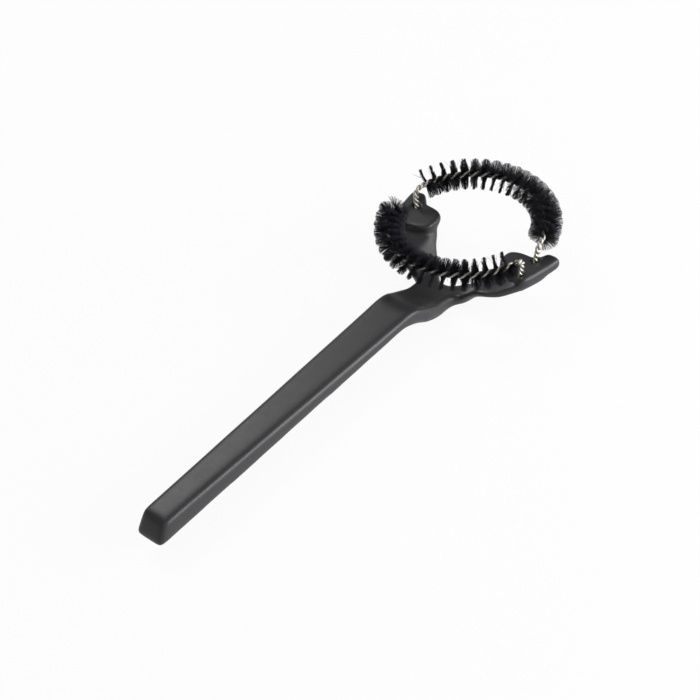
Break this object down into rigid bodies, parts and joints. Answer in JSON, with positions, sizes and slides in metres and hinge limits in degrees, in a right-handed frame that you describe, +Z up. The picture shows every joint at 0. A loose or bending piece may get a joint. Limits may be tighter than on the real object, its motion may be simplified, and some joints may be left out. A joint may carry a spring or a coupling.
{
  "type": "group head brush",
  "caption": "Two half-ring twisted-wire brushes standing in the two pads of a moulded fork, with a long flat handle, for scrubbing round a ring-shaped seal.",
  "frame": {"origin": "on the surface the brush lies on, under the middle of its overall box", "axes": "+Y along the handle towards the brush ring, +X across the fork, +Z up, square to the ring"},
  "size_m": [0.0688, 0.2037, 0.0288],
  "materials": {
    "moulding": "dark grey moulded plastic with a fine matt grain",
    "wire": "bright galvanised wire",
    "filament": "black nylon filament"
  },
  "bodies": {
    "root": {"handle": "moulding", "far_brush_strand_a": "wire", "far_brush_strand_b": "wire", "far_brush_bristles": "filament", "near_brush_strand_a": "wire", "near_brush_strand_b": "wire", "near_brush_bristles": "filament"}
  },
  "joints": []
}
